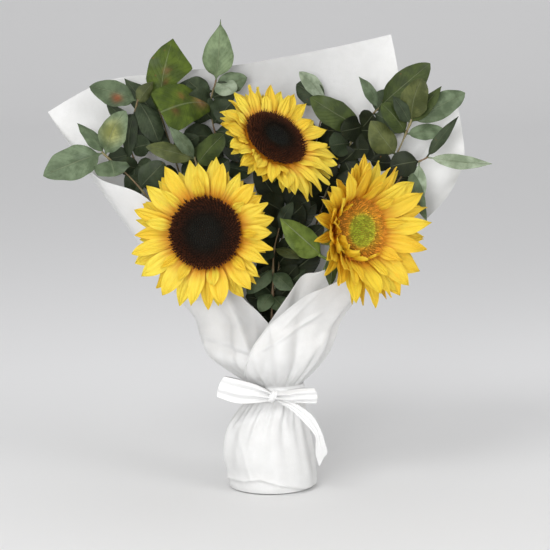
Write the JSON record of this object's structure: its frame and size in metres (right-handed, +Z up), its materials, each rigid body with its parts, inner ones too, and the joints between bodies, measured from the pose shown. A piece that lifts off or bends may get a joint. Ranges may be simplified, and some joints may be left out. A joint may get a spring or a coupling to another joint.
{
  "type": "sunflower bouquet",
  "caption": "Hand-tied bouquet of sunflowers and eucalyptus in overlapping sheets of white paper, tied with a white ribbon and standing on its gathered foot.",
  "frame": {"origin": "middle of the flat underside of the paper foot", "axes": "+Z up along the bundle, -Y towards the front, where the blooms face and the bow is tied"},
  "size_m": [0.4084, 0.2023, 0.432],
  "materials": {
    "petals_yellow": "soft matte petal",
    "petals_golden": "soft matte petal",
    "disc_brown": "dense dry florets",
    "disc_green": "dense fresh florets",
    "sunflower_green": "hairy fresh stem",
    "gum_leaf": "waxy grey-green leaf",
    "gum_leaf_deep": "waxy dark green leaf",
    "wrap_paper": "soft non-woven florist's paper",
    "ribbon_satin": "satin",
    "twine": "natural twine"
  },
  "bodies": {
    "root": {"sunflower_left_petals": "petals_yellow", "sunflower_left_disc": "disc_brown", "sunflower_left_stem": "sunflower_green", "sunflower_top_petals": "petals_yellow", "sunflower_top_disc": "disc_brown", "sunflower_top_stem": "sunflower_green", "sunflower_right_petals": "petals_golden", "sunflower_right_disc": "disc_green", "sunflower_right_stem": "sunflower_green", "eucalyptus_left_front": "gum_leaf", "eucalyptus_left_back": "gum_leaf", "eucalyptus_left_tall": "gum_leaf_deep", "eucalyptus_left_inner": "gum_leaf_deep", "eucalyptus_tall_centre": "gum_leaf", "eucalyptus_back_right": "gum_leaf_deep", "eucalyptus_right_back": "gum_leaf_deep", "eucalyptus_right_high": "gum_leaf", "eucalyptus_right_low": "gum_leaf", "eucalyptus_centre_deep": "gum_leaf_deep", "eucalyptus_centre_low": "gum_leaf", "wrap_inner_sheet": "wrap_paper", "wrap_outer_sheet": "wrap_paper", "ribbon": "ribbon_satin", "stem_tie": "twine"}
  },
  "joints": []
}
